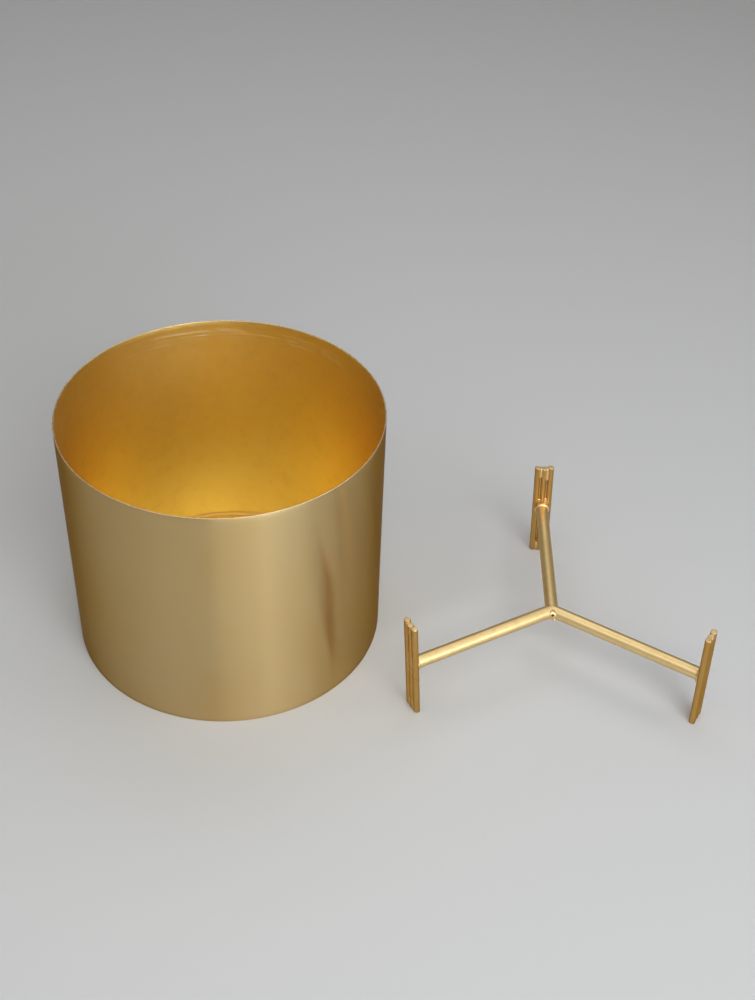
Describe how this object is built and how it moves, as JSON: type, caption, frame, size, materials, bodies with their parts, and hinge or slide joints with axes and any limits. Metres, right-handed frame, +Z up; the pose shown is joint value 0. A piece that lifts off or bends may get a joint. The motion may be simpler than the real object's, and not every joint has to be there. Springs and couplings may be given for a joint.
{
  "type": "planter with stand",
  "caption": "Straight-sided cylindrical metal planter that lifts off the floor, beside the low three-legged rod stand that carries it.",
  "frame": {"origin": "on the floor at the pot's axis, in the plane of the pot's underside", "axes": "+X to the right from the pot towards its stand, +Y to the back, +Z up"},
  "size_m": [0.621, 0.305, 0.255],
  "materials": {
    "pot_metal": "satin",
    "stand_metal": "satin",
    "braze": "satin",
    "solder": "matte"
  },
  "bodies": {
    "stand": {"hub_braze": "braze", "arm_rear": "stand_metal", "leg_rod_rear_a": "stand_metal", "leg_rod_rear_b": "stand_metal", "leg_rod_rear_c": "stand_metal", "arm_weld_rear": "braze", "leg_braze_rear": "braze", "arm_left": "stand_metal", "leg_rod_left_a": "stand_metal", "leg_rod_left_b": "stand_metal", "leg_rod_left_c": "stand_metal", "arm_weld_left": "braze", "leg_braze_left": "braze", "arm_right": "stand_metal", "leg_rod_right_a": "stand_metal", "leg_rod_right_b": "stand_metal", "leg_rod_right_c": "stand_metal", "arm_weld_right": "braze", "leg_braze_right": "braze"},
    "pot": {"pot_wall": "pot_metal", "pot_base": "pot_metal", "base_solder": "solder"}
  },
  "joints": [
    {"name": "pot_lift", "type": "slide", "parent": "stand", "child": "pot", "axis": [0, 0, 1], "range_m": [0, 0.13]}
  ]
}
